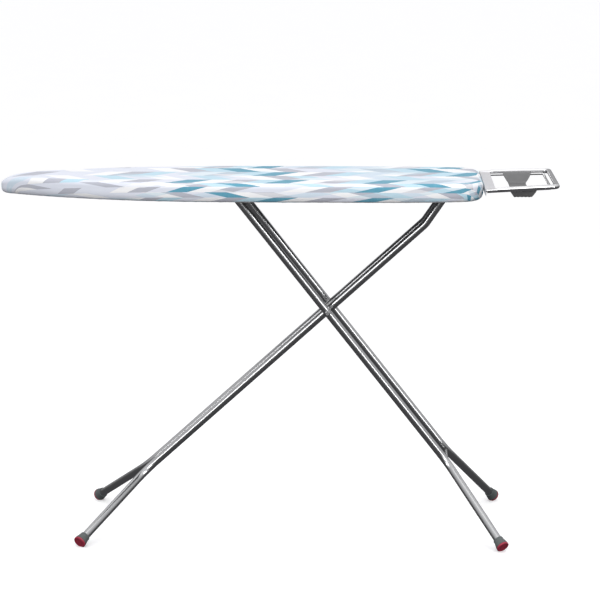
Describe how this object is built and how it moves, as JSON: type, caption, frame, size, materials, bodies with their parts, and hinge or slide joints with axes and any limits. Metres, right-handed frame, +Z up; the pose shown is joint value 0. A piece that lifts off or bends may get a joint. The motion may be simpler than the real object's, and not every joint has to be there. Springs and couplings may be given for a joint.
{
  "type": "ironing board",
  "caption": "Folding ironing board: padded, cloth-covered steel top on crossed chromed tube legs with splayed rubber feet, a height latch underneath and a wire iron rest past its square end.",
  "frame": {"origin": "middle of the whole object's footprint box, on the floor", "axes": "+X along the board from the nose towards the iron rest, +Y across the board away from the latch handle, +Z up"},
  "size_m": [1.3808, 0.5442, 0.895],
  "materials": {
    "cover_cloth": "woven cotton printed with skewed white, grey, pale blue and teal diamonds",
    "pad_felt": "needled felt",
    "zinc_steel": "bright zinc plate",
    "chromed_tube": "polished chrome with dark reflections",
    "crossbar_paint": "satin light grey",
    "tray_paint": "satin mid grey",
    "foot_rubber": "matte grey",
    "foot_red": "satin red",
    "nylon": "natural white",
    "grip_plastic": "matte dark grey"
  },
  "bodies": {
    "board": {"cover": "cover_cloth", "padding": "pad_felt", "top_sheet": "zinc_steel", "edge_rim": "zinc_steel", "guide_rail_near": "zinc_steel", "rail_rivet_near_1": "zinc_steel", "rail_rivet_near_2": "zinc_steel", "guide_rail_far": "zinc_steel", "rail_rivet_far_1": "zinc_steel", "rail_rivet_far_2": "zinc_steel", "hinge_bracket": "zinc_steel", "hinge_rod": "zinc_steel", "hinge_washer_near": "nylon", "hinge_washer_far": "nylon", "latch_bracket": "zinc_steel", "latch_pin": "zinc_steel", "latch_spring": "zinc_steel", "rest_crossbar": "crossbar_paint", "rest_loop": "chromed_tube", "rest_wire": "chromed_tube", "rest_tray": "tray_paint", "rest_bolt_near": "zinc_steel", "rest_bolt_far": "zinc_steel"},
    "latch": {"latch_bar": "zinc_steel", "latch_handle": "chromed_tube", "latch_grip": "grip_plastic"},
    "inner_legs": {"inner_leg_near": "chromed_tube", "foot_cap_inner_near": "foot_rubber", "foot_pad_inner_near": "foot_red", "pivot_spacer_near": "nylon", "inner_leg_far": "chromed_tube", "foot_cap_inner_far": "foot_rubber", "foot_pad_inner_far": "foot_red", "pivot_spacer_far": "nylon", "pivot_spacer_middle": "nylon", "pivot_rod": "zinc_steel", "inner_brace": "chromed_tube"},
    "outer_legs": {"outer_leg_near": "chromed_tube", "foot_cap_outer_near": "foot_rubber", "foot_pad_outer_near": "foot_red", "glide_bush_near": "nylon", "outer_leg_far": "chromed_tube", "foot_cap_outer_far": "foot_rubber", "foot_pad_outer_far": "foot_red", "glide_bush_far": "nylon", "glide_rod": "zinc_steel", "outer_brace": "chromed_tube"}
  },
  "joints": [
    {"name": "inner_leg_fold", "type": "hinge", "parent": "board", "child": "inner_legs", "pos_m": [0.42634, 0, 0.862], "axis": [0, 1, 0], "range_deg": [0, 40.5]},
    {"name": "leg_scissor", "type": "hinge", "parent": "inner_legs", "child": "outer_legs", "pos_m": [0.1265, 0, 0.55927], "axis": [0, -1, 0], "range_deg": [0, 88]},
    {"name": "latch_squeeze", "type": "hinge", "parent": "board", "child": "latch", "pos_m": [-0.05058, 0, 0.8488], "axis": [0, -1, 0], "range_deg": [0, 5], "stiffness_Nm_per_rad": 0.5, "springref_deg": -20.05}
  ],
  "couplings": [
    {"joint": "leg_scissor", "follows": "inner_leg_fold", "ratio": 2.1463}
  ]
}
